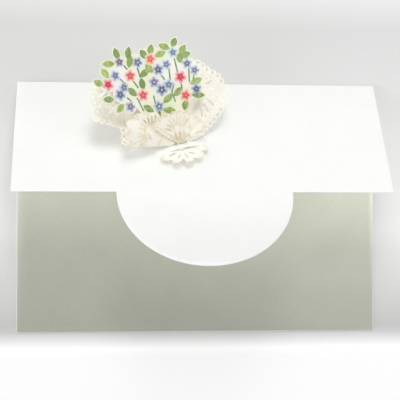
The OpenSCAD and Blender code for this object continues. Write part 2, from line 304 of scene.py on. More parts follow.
# %% Flat outline of the card
CARD_PITCH, BEND_ROWS = 2.5, 15
MID_R = FOLD_R + CARD_T / 2
BEND_ANGLE = math.radians(180 - OPEN_ANGLE)
BEND_START = BACK_L - OUTER_R
BEND_END = BEND_START + MID_R * BEND_ANGLE
SHEET_END = BEND_END + COVER_L - OUTER_R
half_w = CARD_W / 2
tongue = [(TONGUE_R * math.cos(a), SHEET_END + TONGUE_R * math.sin(a))
          for a in np.linspace(0, math.pi, 73)]
bend_rows = list(np.linspace(BEND_START, BEND_END, BEND_ROWS))
side_rows = [*np.arange(0, BEND_START, CARD_PITCH), *bend_rows,
             *np.arange(BEND_END + CARD_PITCH, SHEET_END, CARD_PITCH)]
card_outline = [*((x, 0) for x in np.linspace(-half_w, half_w, 60)),
                *((half_w, s) for s in side_rows[1:]), (half_w, SHEET_END), *tongue, (-half_w, SHEET_END),
                *((-half_w, s) for s in side_rows[:0:-1])]
print("outline of the card:", len(card_outline), "points")

# %% The strap's two slits in the flat sheet
strap_middle = Vector((STRAP_X, BEND_END + STRAP_DROP - OUTER_R))
strap_across = Vector((math.cos(math.radians(STRAP_TILT)), -math.sin(math.radians(STRAP_TILT))))
strap_down = Vector((-strap_across.y, strap_across.x))


def on_strap(along, across):
    """Place on the flat sheet, by distances along and across the strap."""
    return tuple(strap_middle + strap_across * along + strap_down * across)


def slit_reach(along):
    """Half the strap's width at a distance along it. The slits bow in towards its middle."""
    return STRAP_W / 2 - SLIT_BOW * (1 - (2 * along / STRAP_L) ** 2)


def slit(side):
    return [on_strap(a, side * slit_reach(a)) for a in np.linspace(-1, 1, 41) * STRAP_L / 2]


fine = [on_strap(x, y) for x in np.arange(-STRAP_L / 2, STRAP_L / 2, 0.8) for y in (-0.6, 0, 0.6)]
coarse = [p for p in grid(-half_w, half_w, 0, SHEET_END + TONGUE_R, CARD_PITCH)
          if not BEND_START - 1 < p[1] < BEND_END + 1]
bend = [(x, s) for s in bend_rows for x in np.linspace(-half_w + 2, half_w - 2, 50)]
card_points, card_faces = flat_sheet(card_outline, coarse + bend + fine, [slit(-1), slit(1)])
print("flat card:", len(card_points), "points,", len(card_faces), "triangles")

# %% Open the slits
def new_mesh(name, points, faces=(), edges=()):
    """A mesh from its points. A point of only x and y lies in the plane of the flat sheet."""
    mesh = bpy.data.meshes.new(name)
    mesh.from_pydata([(*point, 0)[:3] for point in points], edges, faces)
    return mesh


def coordinates(mesh):
    flat = np.empty(3 * len(mesh.vertices))
    mesh.vertices.foreach_get("co", flat)
    return flat.reshape(-1, 3)


@contextmanager
def editing(mesh):
    """Opens a mesh for editing, and writes it back when the edit is done."""
    work = bmesh.new()
    work.from_mesh(mesh)
    yield work
    work.to_mesh(mesh)
    work.free()


NEAR_SLIT = 0.02


def strap_place(points):
    """Each point's place along and across the strap."""
    rel = points[:, :2] - np.array(strap_middle)
    return rel @ np.array(strap_across), rel @ np.array(strap_down)


def open_slits(mesh):
    """Splits the sheet along both slits, and says which points are the strap's."""
    along, across = strap_place(coordinates(mesh))
    on_slit = (np.abs(np.abs(across) - slit_reach(along)) < NEAR_SLIT)
    on_slit &= np.abs(along) <= STRAP_L / 2 + NEAR_SLIT
    raised = set()
    with editing(mesh) as work:
        cuts = [e for e in work.edges if all(on_slit[v.index] for v in e.verts)
                and (across[e.verts[0].index] > 0) == (across[e.verts[1].index] > 0)]
        bmesh.ops.split_edges(work, edges=cuts)
        for face in work.faces:
            a, c = strap_place(np.array([face.calc_center_median()[:]]))
            if abs(c[0]) < slit_reach(a[0]) and abs(a[0]) < STRAP_L / 2:
                raised.update(v.index for v in face.verts)
    return sorted(raised)


card_mesh = new_mesh("card_sheet", card_points, card_faces)
strap_verts = open_slits(card_mesh)
print("strap points:", len(strap_verts))

# %% Lift the strap and fold the sheet
def move_to(mesh, points):
    """Puts a mesh's points at places given in millimetres."""
    mesh.vertices.foreach_set("co", (points * MM).ravel())
    mesh.update()


def folded_card_point(points, heights):
    """Flat sheet to folded card. Height is out of the cover's face, and out of the fold."""
    x, s = points[:, 0], points[:, 1]
    angle = np.clip((s - BEND_START) / MID_R, 0, BEND_ANGLE)
    along = np.maximum(s - BEND_END, 0)
    before = np.minimum(s - BEND_START, 0)
    r = MID_R + heights
    y = BEND_Y + r * np.sin(angle) + before + along * np.cos(angle)
    z = OUTER_R - r * np.cos(angle) + along * np.sin(angle)
    return np.column_stack([x, y, z])


flat = coordinates(card_mesh)
lift = np.zeros(len(flat))
along, _ = strap_place(flat)
arch = np.clip(1 - (2 * along / STRAP_L) ** 2, 0, 1)
lift[strap_verts] = STRAP_RISE * arch[strap_verts]
move_to(card_mesh, folded_card_point(flat, lift))
print("highest lift", round(float(lift.max()), 2), "mm")

# %% Give the sheet its thickness
def in_scene(name, data):
    """An object that carries a mesh, a camera or a light, linked into the scene."""
    made = bpy.data.objects.new(name, data)
    bpy.context.scene.collection.objects.link(made)
    return made


def evaluated(carrier):
    """A new mesh that holds what an object's modifiers make of its own."""
    graph = bpy.context.evaluated_depsgraph_get()
    return bpy.data.meshes.new_from_object(carrier.evaluated_get(graph))


def thickened(name, mesh, thickness, material, bevel=0.0):
    """Turns a sheet of no thickness into a solid piece, half of it on each side, with softened edges."""
    piece = in_scene(name, mesh)
    solid = piece.modifiers.new("thickness", "SOLIDIFY")
    solid.thickness = thickness * MM
    solid.offset = 0
    solid.use_even_offset = True
    if bevel:
        soft = piece.modifiers.new("edges", "BEVEL")
        soft.width = bevel * MM
        soft.segments = 2
        soft.angle_limit = math.radians(60)
    made = evaluated(piece)
    piece.modifiers.clear()
    piece.data = made
    made.materials.clear()
    made.materials.append(material)
    return piece


card = thickened("card_sheet", card_mesh, CARD_T, pearl_white, bevel=0.06)
print(f"card {CARD_T} mm thick")

# %% Shade the card smoothly and hang it on the frame
def soften(piece, degrees=40):
    """Smooth faces, with edges that turn more than this kept sharp."""
    mesh = piece.data
    mesh.polygons.foreach_set("use_smooth", [True] * len(mesh.polygons))
    with editing(mesh) as work:
        for e in work.edges:
            if len(e.link_faces) == 2 and e.calc_face_angle(0) > math.radians(degrees):
                e.smooth = False


def finish_piece(piece, slot, *nodes):
    """Every piece rides on the card's one body. The main piece of a sheet stands for its solid."""
    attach(piece, "root")
    if nodes:
        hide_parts(*nodes)
    print(f"{piece.name}: {len(piece.data.polygons)} faces")


soften(card)
finish_piece(card, "pearl_card", "folded_card")

# %% [markdown]
# ## The inner leaf
# A leaf of grey pearl paper is glued inside the back, with a hair's breadth of card left round it. A thin
# box would do for its shape, but it is cut as a flat sheet like the card, so its edges soften in the same
# way. Its place comes from the frame. All the rest of its look is in its material.

# %% Cut and lay the inner leaf
leaf_low, leaf_high = (np.array(c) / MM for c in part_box("inner_leaf"))
leaf_outline = [(leaf_low[0], leaf_low[1]), (leaf_high[0], leaf_low[1]),
                (leaf_high[0], leaf_high[1]), (leaf_low[0], leaf_high[1])]
leaf_points, leaf_faces = flat_sheet(
    leaf_outline, grid(leaf_low[0], leaf_high[0], leaf_low[1], leaf_high[1], 4))
leaf_z = (leaf_low[2] + leaf_high[2]) / 2
leaf_mesh = new_mesh("leaf_sheet", [(x * MM, y * MM, leaf_z * MM) for x, y in leaf_points], leaf_faces)
inner_leaf = thickened("leaf_sheet", leaf_mesh, LEAF_T, pearl_grey, bevel=0.05)
soften(inner_leaf)
finish_piece(inner_leaf, "grey_pearl_paper", "inner_leaf")

# %% [markdown]
# ## Folding a cone of pleats
# Gathered paper can't stretch. Where it is pinched at one point, every fold runs straight out from that
# point, so the sheet is a cone of a very general kind: each direction on the flat sheet becomes one
# direction in space. It is enough to know those directions. The elevation of each is chosen, and its
# azimuth then follows from the paper's own angle, because the paper between two directions keeps its size.

# %% Cones: from a flat direction to a direction in space
class Cone:
    """A fold rule: at each paper angle, a direction in space, and the way that the paper faces there."""

    def __init__(self, paper_angles, directions):
        self.angles = np.asarray(paper_angles)
        self.directions = np.asarray(directions)
        left, right = self.directions[:-1], self.directions[1:]
        facing = np.cross(right, left)
        facing /= np.linalg.norm(facing, axis=1)[:, None]
        ends = [facing[:1], (facing[:-1] + facing[1:]) / 2, facing[-1:]]
        self.facing = np.concatenate(ends)

    def fold(self, points, spread=1.0):
        """Flat points, Y up the middle and Z out of the paper, to points in space."""
        angle = np.degrees(np.arctan2(points[:, 0], points[:, 1])) * spread
        reach = np.hypot(points[:, 0], points[:, 1])

        def look_up(table):
            found = np.column_stack([np.interp(angle, self.angles, table[:, k]) for k in range(3)])
            return found / np.linalg.norm(found, axis=1)[:, None]

        return reach[:, None] * look_up(self.directions) + points[:, 2:3] * look_up(self.facing)


# %% The pleats of the collar
def running(steps):
    """Running total of the steps, from 0."""
    return np.concatenate([[0], np.cumsum(steps)])


def direction(azimuth, elevation):
    """One direction in space for each azimuth, clockwise from Y, and elevation."""
    a, e = np.radians(azimuth), np.radians(elevation)
    return np.stack([np.sin(a) * np.cos(e), np.cos(a) * np.cos(e), np.sin(e)], axis=-1)


def pleated_cone(paper_angles, elevations):
    """A cone whose azimuths follow from its elevations, with its middle on the axis."""
    e = np.radians(elevations)
    step = np.radians(np.diff(paper_angles))
    cosine = (np.cos(step) - np.sin(e[:-1]) * np.sin(e[1:])) / (np.cos(e[:-1]) * np.cos(e[1:]))
    azimuth = running(np.degrees(np.arccos(np.clip(cosine, -1, 1))))
    azimuth -= azimuth[-1] / 2
    return Cone(paper_angles, direction(azimuth, elevations)), azimuth


def rounded_zigzag(phase):
    """Plus one at even phases, minus one at odd ones, with softly rounded turns."""
    return np.arcsin(0.97 * np.cos(np.pi * phase)) / math.asin(0.97)


# The collar has so many gores of so many degrees each. Each fold line swings up or down by the pleat.
COLLAR_GORES, COLLAR_STEP, PLEAT = 18, 11, 3
collar_paper = COLLAR_GORES * COLLAR_STEP
collar_angles = np.linspace(-collar_paper / 2, collar_paper / 2, COLLAR_GORES * 6 + 1)
collar_phase = (collar_angles + collar_paper / 2) / COLLAR_STEP
collar_rise = -3 + 10 * (2 * collar_angles / collar_paper) ** 2 + PLEAT * rounded_zigzag(collar_phase)
collar_cone, collar_azimuths = pleated_cone(collar_angles, collar_rise)
COLLAR_SWEEP = collar_azimuths[-1] - collar_azimuths[0]
print(f"collar: {collar_paper} degrees of paper gathered into {COLLAR_SWEEP:.0f}")

# %% [markdown]
# ## Cutting the lace
# A laser cuts every hole of the doily. A Boolean could do the same, but hundreds of cutters are slow, so
# this is work for Geometry Nodes. The tree takes one mesh that holds the sheet's outline as edges and each
# hole as a loose point, with its width, length and turn as attributes. It sets a circle on each point,
# stretches it to size, and fills what is left between the outline and the circles.

# %% Geometry Nodes: a sheet with holes
def named(tree, name, kind):
    return add(tree, "GeometryNodeInputNamedAttribute", {"Name": name}, data_type=kind).outputs["Attribute"]


GEOMETRY = "NodeSocketGeometry"
perforate, group_in, group_out = new_group(
    "perforated_paper", "GeometryNodeTree",
    [("Geometry", GEOMETRY, None), ("Hole Sides", "NodeSocketInt", 12),
     ("Paper", "NodeSocketMaterial", None)],
    [("Geometry", GEOMETRY)])
parts = add(perforate, "GeometryNodeSeparateGeometry", {
    "Geometry": group_in.outputs["Geometry"], "Selection": named(perforate, "is_hole", "BOOLEAN")})
circle = add(perforate, "GeometryNodeCurvePrimitiveCircle", {
    "Resolution": group_in.outputs["Hole Sides"], "Radius": 0.5})
holes = add(perforate, "GeometryNodeInstanceOnPoints", {
    "Points": parts.outputs["Selection"], "Instance": circle.outputs["Curve"],
    "Rotation": named(perforate, "hole_turn", "FLOAT_VECTOR"),
    "Scale": named(perforate, "hole_size", "FLOAT_VECTOR")})
cut_holes = add(perforate, "GeometryNodeRealizeInstances", {"Geometry": holes.outputs["Instances"]})
edge = add(perforate, "GeometryNodeMeshToCurve", {"Mesh": parts.outputs["Inverted"]})
curves = add(perforate, "GeometryNodeJoinGeometry")
perforate.links.new(cut_holes.outputs["Geometry"], curves.inputs[0])
perforate.links.new(edge.outputs["Curve"], curves.inputs[0])
filled = add(perforate, "GeometryNodeFillCurve", {"Curve": curves.outputs[0]})
coloured = add(perforate, "GeometryNodeSetMaterial", {
    "Geometry": filled.outputs["Mesh"], "Material": group_in.outputs["Paper"]})
perforate.links.new(coloured.outputs["Geometry"], group_out.inputs["Geometry"])
print("sheet cutter inputs:", [i.name for i in perforate.interface.items_tree if i.in_out == "INPUT"])

# %% Helpers: bearings and rings on a flat sheet
def polar(bearing, reach):
    """Place on a flat sheet, by bearing clockwise from its middle line and distance from the waist."""
    a = math.radians(bearing)
    return reach * math.sin(a), reach * math.cos(a)


def bearing_of(x, y):
    return math.degrees(math.atan2(x, y))


def ring(x, y, r, sides=28):
    return [(x + r * math.cos(2 * math.pi * k / sides), y + r * math.sin(2 * math.pi * k / sides))
            for k in range(sides)]


print("a bearing due right:", bearing_of(1, 0))

# %% Helpers: the union of overlapping shapes
def union_sheet(loops, free_points=()):
    """Triangles that cover the union of closed loops."""
    points, faces = [], []
    for loop in loops:
        turning = sum(a[0] * b[1] - a[1] * b[0] for a, b in zip(loop, loop[1:] + loop[:1]))
        faces.append(list(range(len(points), len(points) + len(loop))))
        points += [Vector(p) for p in (loop if turning > 0 else loop[::-1])]
    points += [Vector(p) for p in free_points if any(inside(p, loop) for loop in loops)]
    verts, _, tris, _, _, owners = geometry.delaunay_2d_cdt(points, [], faces, 0, 1e-4)
    return [tuple(v) for v in verts], [t for t, owner in zip(tris, owners) if owner]


def union_outline(loops):
    """Points and edges round the union of closed loops."""
    verts, tris = union_sheet(loops)
    uses = {}
    for tri in tris:
        for a, b in zip(tri, tri[1:] + tri[:1]):
            uses[min(a, b), max(a, b)] = uses.get((min(a, b), max(a, b)), 0) + 1
    edges = [pair for pair, count in uses.items() if count == 1]
    used = {old: new for new, old in enumerate(sorted({i for pair in edges for i in pair}))}
    return [verts[i] for i in used], [(used[a], used[b]) for a, b in edges]


print("two rings joined:", len(union_outline([ring(0, 0, 2), ring(3, 0, 2)])[0]), "points")

# %% Helpers: holes and fans of holes
def hole(x, y, width, length=None, bearing=None):
    """A hole's place, size and turn. Long holes point away from the waist."""
    bearing = bearing_of(x, y) if bearing is None else bearing
    return x, y, width, length or width, -math.radians(bearing)


def fan(x, y, bearings, near, length, width):
    """A fan: petals that spread from one point, as on the real doily's motifs."""
    found = []
    for bearing in bearings:
        dx, dy = polar(bearing, near + length / 2)
        found.append(hole(x + dx, y + dy, width, length, bearing))
    return found


print("a fan of", len(fan(0, 0, (-20, 0, 20), 3, 4, 1)), "holes")

# %% Helpers: keep a bridge of paper between holes
def spine(item):
    """Points along the middle line of a hole."""
    x, y, width, length, turned = item
    along = np.linspace(-0.5, 0.5, 5)[:, None] * (length - width)
    return np.array([(x, y)]) + along * np.array([(-math.sin(turned), math.cos(turned))])


def nearest(points, others):
    """Each of the others' distance to the nearest of the points."""
    return np.hypot(*(points[:, None] - others[None]).transpose(2, 0, 1)).min(axis=0)


def even(points, step):
    """Points a step apart along a line, a whole number of steps in all."""
    points = np.asarray(points)
    run = running(np.hypot(*np.diff(points, axis=0).T))
    at = np.linspace(0, run[-1], round(run[-1] / step) + 1)
    return np.column_stack([np.interp(at, run, points[:, 0]), np.interp(at, run, points[:, 1])])


def within(outline, holes, gap=0.35, waist=0.0):
    """The holes that lie inside an outline, with a bridge of paper to it, and clear of the waist."""
    edge = even(outline + outline[:1], 0.3)
    kept = []
    for item in holes:
        line = spine(item)
        if (nearest(line, edge).min() > item[2] / 2 + gap and np.hypot(*line.T).min() > waist
                and all(inside(p, outline) for p in line)):
            kept.append(item)
    return kept


BRIDGE = 0.3


def spaced(holes):
    """The holes in turn, less any that would leave too thin a bridge to one before it."""
    kept, spines, widths = [], np.empty((0, 2)), np.empty(0)
    for item in holes:
        line = spine(item)
        if not kept or np.all(nearest(line, spines) > (item[2] + widths) / 2 + BRIDGE):
            kept.append(item)
            spines = np.concatenate([spines, line])
            widths = np.concatenate([widths, np.full(len(line), item[2])])
    return kept


print("of two holes that nearly touch,", len(spaced([hole(0, 9, 1), hole(1, 9, 1)])), "stays")

# %% Helpers: attributes, and a tree run on a mesh
FIELDS = {"BOOLEAN": "value", "FLOAT": "value", "FLOAT_VECTOR": "vector", "FLOAT_COLOR": "color"}


def give(mesh, name, kind, values):
    """Writes one attribute, a value to each point."""
    layer = mesh.attributes.new(name, kind, "POINT")
    layer.data.foreach_set(FIELDS[kind], np.asarray(values).ravel())


def evaluated_mesh(name, mesh, tree, **inputs):
    """The mesh that a tree makes from another mesh. Its inputs are given by name."""
    carrier = in_scene(name, mesh)
    modifier = carrier.modifiers.new("tree", "NODES")
    modifier.node_group = tree
    for item in tree.interface.items_tree:
        label = item.name.replace(" ", "_")
        if item.in_out == "INPUT" and label in inputs:
            modifier[item.identifier] = inputs[label]
    carrier.update_tag()
    made = evaluated(carrier)
    bpy.data.objects.remove(carrier)
    return made


print("kinds of attribute:", sorted(FIELDS))

# %% Helpers: cut one sheet of lace
SHEET_STEP = 1.4


def refine(work, longest):
    """Halves long edges until the sheet can bend and ripple smoothly."""
    for _ in range(5):
        long_edges = [e for e in work.edges if e.calc_length() > longest]
        if not long_edges:
            break
        bmesh.ops.subdivide_edges(work, edges=long_edges, cuts=1)
        bmesh.ops.triangulate(work, faces=work.faces[:])
        inner = [e for e in work.edges if not e.is_boundary]
        bmesh.ops.beautify_fill(work, faces=work.faces[:], edges=inner)


def cut_sheet(name, loops, holes, creases, keep=None):
    """A flat sheet of lace from the loops that it covers, its holes, and the rays it will fold along.

    Only the paper whose bearing is within keep stays, if it is given."""
    points, edges = union_outline(loops)
    mesh = new_mesh(name + "_plan", points + [h[:2] for h in holes], edges=edges)
    rest = len(points)
    give(mesh, "is_hole", "BOOLEAN", [False] * rest + [True] * len(holes))
    give(mesh, "hole_size", "FLOAT_VECTOR", [(1, 1, 1)] * rest + [(h[2], h[3], 1) for h in holes])
    give(mesh, "hole_turn", "FLOAT_VECTOR", [(0, 0, 0)] * rest + [(0, 0, h[4]) for h in holes])
    made = evaluated_mesh(name, mesh, perforate, Hole_Sides=12, Paper=lace_cream)
    with editing(made) as work:
        refine(work, SHEET_STEP)
        for bearing in creases:
            a = math.radians(bearing)
            bmesh.ops.bisect_plane(work, geom=work.verts[:] + work.edges[:] + work.faces[:], dist=1e-5,
                                   plane_co=(0, 0, 0), plane_no=(math.cos(a), -math.sin(a), 0))
        if keep:
            stray = [f for f in work.faces if abs(bearing_of(*f.calc_center_median()[:2])) > keep]
            bmesh.ops.delete(work, geom=stray, context="FACES")
    print(f"{name}: {len(holes)} holes, {len(made.polygons)} faces")
    return made


print("longest edge of a cut sheet:", SHEET_STEP, "mm")

# %% [markdown]
# ## The collar
# The collar is the back of the doily, an oval with a rim of small loops. At its left end the paper is
# drawn in, so the rim turns down one radius and runs on round a smaller lobe. Each row of holes keeps its
# distance from the rim. The rows are drawn as the gathered lace is seen, and the fold then spreads them
# over the wider flat paper.

# %% Course of the collar's rim
COLLAR_A, COLLAR_B, COLLAR_X = 28.5, 18.5, -4
COLLAR_Y = COLLAR_B
LOOP_R, LOOP_STEP, WAIST_CLEAR, SIDE_REACH, COURSE_STEP = 1.35, 2.4, 8, 24.5, 0.25
SIDE_BEARING = -(COLLAR_GORES / 2 - 2) * COLLAR_STEP * COLLAR_SWEEP / collar_paper


def oval(turned, inset):
    """Point inset from the oval's rim, which has a lobe at the upper left and a nick below it."""
    lobe = 1.8 * math.exp(-((turned + 60) / 10) ** 2)
    nick = 3.4 * math.exp(-((turned + 76) / 6) ** 2)
    a = math.radians(turned)
    return (COLLAR_X + (COLLAR_A - inset + (lobe - nick)) * math.sin(a),
            COLLAR_Y + (COLLAR_B - inset + (lobe - nick)) * math.cos(a))


round_oval = [oval(t, LOOP_R) for t in np.arange(-175, 176, 1.0)]
aside = np.array(polar(SIDE_BEARING + 90, LOOP_R))
round_oval = [p for p in round_oval if bearing_of(*(np.array(p) - aside)) > SIDE_BEARING
              and p[1] > 0.3 and bearing_of(*p) < COLLAR_SWEEP / 2 + 6]
tip = np.hypot(*(np.array(round_oval[0]) - aside))
inward = [np.array(polar(SIDE_BEARING, r)) + aside for r in np.arange(SIDE_REACH + 1.0, tip - 1, 0.5)]
left_end = [polar(b, SIDE_REACH - LOOP_R - 0.012 * max(0, -70 - b) ** 2)
            for b in np.arange(-COLLAR_SWEEP / 2 - 4, SIDE_BEARING - 2, 1.0)]
course = even(np.array(left_end + inward + round_oval), COURSE_STEP)
loops = even(course, LOOP_STEP)
print(f"rim of {len(loops)} loops")

# %% Rows and fans of holes along the rim
heading = np.gradient(course, axis=0)
heading /= np.hypot(*heading.T)[:, None]
to_middle = np.column_stack([heading[:, 1], -heading[:, 0]])


def row(inset, step, width):
    """Round holes at one distance inside the rim's course."""
    found = []
    for x, y in course + to_middle * inset:
        far = np.min(np.hypot(*(course - (x, y)).T)) > inset - 0.1
        if far and all(math.hypot(x - h[0], y - h[1]) > step for h in found):
            found.append(hole(x, y, width))
    return found


def fans(step, root, spread, near, length, width):
    """Fans whose roots keep one distance from the rim, and whose petals point at it."""
    found = []
    for i in range(round(step / 2 / COURSE_STEP), len(course), round(step / COURSE_STEP)):
        x, y = course[i] + to_middle[i] * root
        outward = bearing_of(*-to_middle[i])
        found += fan(x, y, [outward + b for b in spread], near, length, width)
    return found


print("the rim is", round(len(course) * COURSE_STEP), "mm long")

# %% Cut the collar
# Each row is a distance in from the rim, a least distance apart and a width. Where two holes would meet,
# the earlier one stays.
ROWS = [(1.75, 1.3, 0.5), (10.8, 4.6, 1.4), (3.4, 1.2, 0.9), (13.2, 2.6, 0.7)]
RIM_HOLE, RIM_ENDS = 1.3, 78
base = [tuple(p) for p in course] + [(0, 0)]
rim_holes = [hole(x, y, RIM_HOLE) for x, y in loops if abs(bearing_of(x, y)) < RIM_ENDS]
rows = fans(step=9.2, root=10.2, spread=(-52, -26, 0, 26, 52), near=3.2, length=4.8, width=1.15)
for inset, apart, width in ROWS:
    rows += row(inset, apart, width)
collar_holes = spaced(rim_holes + within(base, rows, waist=WAIST_CLEAR))
collar = cut_sheet("collar", [base, ring(0, 0, WAIST_CLEAR)] + [ring(x, y, LOOP_R, 16) for x, y in loops],
                   collar_holes, np.linspace(-COLLAR_SWEEP / 2, COLLAR_SWEEP / 2, COLLAR_GORES * 4 + 1),
                   keep=COLLAR_SWEEP / 2)

# %% Gather the collar
def placed(matrix, points):
    """Rows of x, y and z, carried by a matrix."""
    m = np.array(matrix)
    return points @ m[:3, :3].T + m[:3, 3]


def gathers(points, strength):
    """Ripples where the paper is drawn together, which fade away from the waist."""
    angle = np.arctan2(points[:, 0], points[:, 1])
    reach = np.hypot(points[:, 0], points[:, 1])
    fade = np.clip((reach - 1) / 3, 0, 1) * np.exp(-(reach / 10) ** 2)
    ripple = np.cos(angle * 17) + 0.5 * np.cos(angle * 29 + 1)
    return np.column_stack([points[:, :2], points[:, 2] + strength * fade * ripple])


def gathered(sheet, place, cone, strength=0.0, spread=1.0):
    """Ripples a flat sheet, folds it by its cone and sets it in its place on the card."""
    move_to(sheet, placed(place, cone.fold(gathers(coordinates(sheet), strength), spread)))


gathered(collar, WRAP, collar_cone, 0.3, collar_paper / COLLAR_SWEEP)
print("top of the collar:", round(float(coordinates(collar)[:, 2].max() / MM), 1), "mm above the floor")

# %% [markdown]
# ## Flaps, crown and tail
# The two ends of the doily carry on from the collar, turn forward and close over the stems. They could be
# draped as cloth, but cloth stretches and paper doesn't, so each is a cone through a few chosen directions,
# with a rim of scallops. The gathered paper shows above the strap as a crown of small pleats, and below it
# as the tail.

# %% Cones of the two flaps
def eased(values, steps):
    """A smooth curve through a short list of numbers, with so many steps between each pair."""
    values = np.asarray(values, float)
    padded = np.concatenate([[2 * values[0] - values[1]], values, [2 * values[-1] - values[-2]]])
    result = []
    for a, b, c, d in zip(padded, padded[1:], padded[2:], padded[3:]):
        for t in np.arange(steps) / steps:
            result.append(0.5 * (2 * b + (c - a) * t + (2 * a - 5 * b + 4 * c - d) * t * t
                                 + (3 * b - a - 3 * c + d) * t ** 3))
    return np.array(result + [values[-1]])


def angles_of(rays):
    """The paper's own angle at each ray of a cone, from its first ray."""
    return running(np.degrees(np.arccos(np.clip(np.sum(rays[1:] * rays[:-1], axis=1), -1, 1))))


def flap_cone(turns, ripple):
    """A cone through a few chosen directions, with a slight pleat at each, and its paper angle."""
    azimuth = eased([t[0] for t in turns], 6)
    phase = np.arange(len(azimuth)) / 6
    elevation = eased([t[1] for t in turns], 6) + ripple * rounded_zigzag(phase)
    rays = direction(azimuth, elevation)
    angles = angles_of(rays)
    if azimuth[0] > azimuth[-1]:
        return Cone(angles - angles[-1], rays[::-1]), -angles[-1]
    return Cone(angles, rays), angles[-1]


left_cone, left_paper = flap_cone(
    [(-COLLAR_SWEEP / 2, 10), (-77, 20), (-65, 25), (-53, 27), (-41, 28), (-29, 28.5)], 0.8)
right_cone, right_paper = flap_cone(
    [(COLLAR_SWEEP / 2, 10), (76, 20), (64, 24), (51, 27), (38, 29), (25, 31), (12, 32.5), (-1, 34),
     (-14, 35), (-27, 35.5), (-40, 35), (-53, 34)], 0.7)
print(f"flaps of {left_paper:.0f} and {right_paper:.0f} degrees of paper")

# %% Fans of paper
class Fan:
    """A fan of paper from one bearing over a paper angle, with a rim of scallops."""

    def __init__(self, start, paper, scallops, near, reach_at):
        self.start, self.paper, self.scallops, self.near = start, paper, scallops, near
        self.reach_at = reach_at

    def scallop(self, k, across=0.0):
        """Bearing, reach and half width of a scallop, at a place across it from -1 to 1."""
        share = (k + 0.5 + across / 2) / self.scallops
        reach = self.reach_at(share)
        half = reach * math.tan(math.radians(abs(self.paper)) / self.scallops / 2)
        return self.start + self.paper * share, reach, half

    def outline(self, steps=9):
        rim = []
        for k in range(self.scallops):
            for i in range(steps + (k == self.scallops - 1)):
                across = 2 * i / steps - 1
                bearing, reach, half = self.scallop(k, across)
                rim.append(polar(bearing, reach - half * (1 - math.sqrt(1 - (0.96 * across) ** 2))))
        foot = [polar(self.start + self.paper * t, self.near) for t in np.linspace(1, 0, 9)]
        return rim + foot

    def dots(self, count, size, at):
        """Dots round the inside of each scallop."""
        found = []
        for k in range(self.scallops):
            bearing, reach, half = self.scallop(k)
            x, y = polar(bearing, reach - half)
            for d in range(count):
                dx, dy = polar(bearing + (d - (count - 1) / 2) * 150 / count, half * at)
                found.append(hole(x + dx, y + dy, half * size))
        return found

    def slots(self, at, width, length):
        """One long hole in each scallop's sector."""
        places = [self.scallop(k) for k in range(self.scallops)]
        return [hole(*polar(bearing, reach * at), width * 2 * half, length * reach)
                for bearing, reach, half in places]

    def creases(self):
        """Bearings of the rays that it folds along, four to each scallop."""
        return [self.start + self.paper * t for t in np.linspace(0, 1, self.scallops * 4 + 1)[1:-1]]


print("a fan of four scallops folds along", len(Fan(0, 90, 4, 1, lambda t: 9).creases()), "rays")

# %% The left flap
def dotted(bearings, reach):
    """Small dots on an arc about the waist."""
    return [hole(*polar(b, reach), 0.42) for b in bearings]


def fans_of(table):
    """The holes of all the fans in a table."""
    return [h for bearing, reach, *petals in table for h in fan(*polar(bearing, reach), *petals)]


# A flap starts at the gathers, a little way out from the waist. Its reach changes along its rim. A fan is
# the bearing and reach of its root, its petals' bearings, and where they start, their length and width.
GATHER_R = 3
LEFT_REACH = 28.5
LEFT_SHAPE = [0.79, 0.95, 1, 0.9, 0.7]
LEFT_FANS = [(29, 15, np.arange(-43, 105, 16), 3.2, 3.8, 0.65),
             (8, 12.5, np.arange(-20, 70, 16), 3, 3.2, 0.55),
             (47, 9.5, np.arange(2, 90, 17), 2.8, 3, 0.55)]
left = Fan(0, left_paper, 5, GATHER_R,
           lambda t: LEFT_REACH * float(np.interp(t, [0.1, 0.3, 0.5, 0.7, 0.9], LEFT_SHAPE)))
left_holes = fans_of(LEFT_FANS) + left.dots(5, 0.2, 0.74) + dotted(np.arange(6, 52, 5), 10)
left_holes = spaced(within(left.outline(), left_holes))
left_flap = cut_sheet("left_flap", [left.outline()], left_holes, left.creases())
gathered(left_flap, WRAP, left_cone, 0.4)

# %% The right flap
# Its far end carries a frill of small lobes, with a line of dots inside it.
RIGHT_REACH = 12
RIGHT_FANS = [(-83, 6.3, np.arange(-139, -25, 16), 3.1, 4.2, 0.65),
              (-28, 5.5, np.arange(-84, 30, 16), 2.9, 3.2, 0.6)]
right = Fan(0, right_paper, 11, GATHER_R, lambda t: RIGHT_REACH * min(1.5, 1 + 0.55 * max(0, t - 0.045)))
frill = [polar(right_paper, r) for r in np.arange(6, 17.5, 1.7)]
edge_dots = [hole(*polar(right_paper + math.degrees(0.9 / r), r), 0.5) for r in np.arange(6.8, 17, 1.7)]
right_holes = (fans_of(RIGHT_FANS) + right.dots(3, 0.28, 0.66) + edge_dots
               + dotted(np.arange(-116, -8, 8), 5.4))
right_holes = spaced(within(right.outline(), right_holes, gap=0.25))
right_flap = cut_sheet("right_flap", [right.outline()] + [ring(x, y, 0.9, 12) for x, y in frill],
                       right_holes, right.creases())
gathered(right_flap, WRAP, right_cone, 0.4)

# %% The crown
CROWN_REACH = 4.9
crown_angles = np.linspace(-150, 150, 49)
crown_cone, crown_azimuths = pleated_cone(crown_angles, 44 + 17 * rounded_zigzag(np.linspace(0, 8, 49)))
crown = Fan(-150, 300, 8, 1.2, lambda t: CROWN_REACH)
crown_sheet = cut_sheet("crown", [crown.outline(5)], [], crown.creases())
gathered(crown_sheet, WRAP, crown_cone)
print(f"crown over {crown_azimuths[-1] - crown_azimuths[0]:.0f} degrees")

